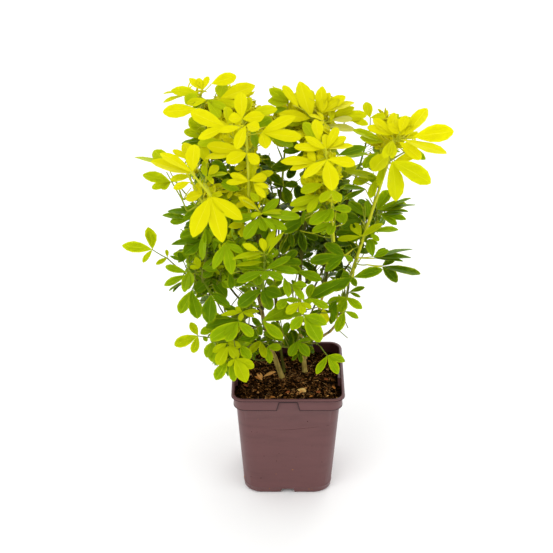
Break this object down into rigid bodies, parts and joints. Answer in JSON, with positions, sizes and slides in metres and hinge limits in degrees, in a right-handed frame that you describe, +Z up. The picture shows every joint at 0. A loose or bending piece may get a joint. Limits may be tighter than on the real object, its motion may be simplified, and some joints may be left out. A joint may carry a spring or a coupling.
{
  "type": "potted mexican orange",
  "caption": "Young golden-leaved Mexican orange shrub with slender woody stems and an open crown of hand-shaped leaves, standing in a square tapered nursery pot filled with soil.",
  "frame": {"origin": "centre of the pot's flat underside", "axes": "+Z up along the pot's middle, -Y towards the side the plant is looked at from, +X to its right"},
  "size_m": [0.4139, 0.3506, 0.6037],
  "materials": {
    "pot_plastic": "satin moulded plum-brown plastic",
    "potting_soil": "loose dark peat with fine fibres",
    "bark": "smooth pale grey-brown young bark",
    "leaf_gold": "glossy bright yellow leaf",
    "leaf_lime": "glossy yellow-green leaf",
    "leaf_green": "glossy mid-green leaf"
  },
  "bodies": {
    "root": {"pot": "pot_plastic", "soil": "potting_soil", "stem_left": "bark", "stem_twin": "bark", "stem_right": "bark", "bough_right_main": "bark", "bough_right_low": "bark", "bough_low_right": "bark", "bough_right_side": "bark", "bough_centre_low": "bark", "bough_front_low": "bark", "bough_top_left": "bark", "bough_left_front": "bark", "bough_left": "bark", "bough_left_low": "bark", "bough_front_left": "bark", "bough_low_left": "bark", "bough_pot_left": "bark", "bough_back_top_left": "bark", "bough_back_left": "bark", "bough_back": "bark", "bough_back_low_left": "bark", "bough_back_top": "bark", "bough_back_top_right": "bark", "bough_back_right": "bark", "bough_back_low_right": "bark", "foliage_upper_left": "leaf_gold", "foliage_top_left": "leaf_gold", "foliage_left_front": "leaf_gold", "foliage_left": "leaf_lime", "foliage_left_low": "leaf_green", "foliage_front_left": "leaf_lime", "foliage_low_left": "leaf_green", "foliage_pot_left": "leaf_green", "foliage_front_low": "leaf_green", "foliage_centre_low": "leaf_green", "foliage_low_right": "leaf_green", "foliage_right": "leaf_gold", "foliage_right_side": "leaf_lime", "foliage_centre": "leaf_gold", "foliage_top": "leaf_gold", "foliage_top_centre": "leaf_gold", "foliage_back_top_left": "leaf_lime", "foliage_back_top_right": "leaf_lime", "foliage_back_top": "leaf_lime", "foliage_back_left": "leaf_lime", "foliage_back": "leaf_lime", "foliage_back_right": "leaf_lime", "foliage_back_low_left": "leaf_green", "foliage_back_low_right": "leaf_green"}
  },
  "joints": []
}
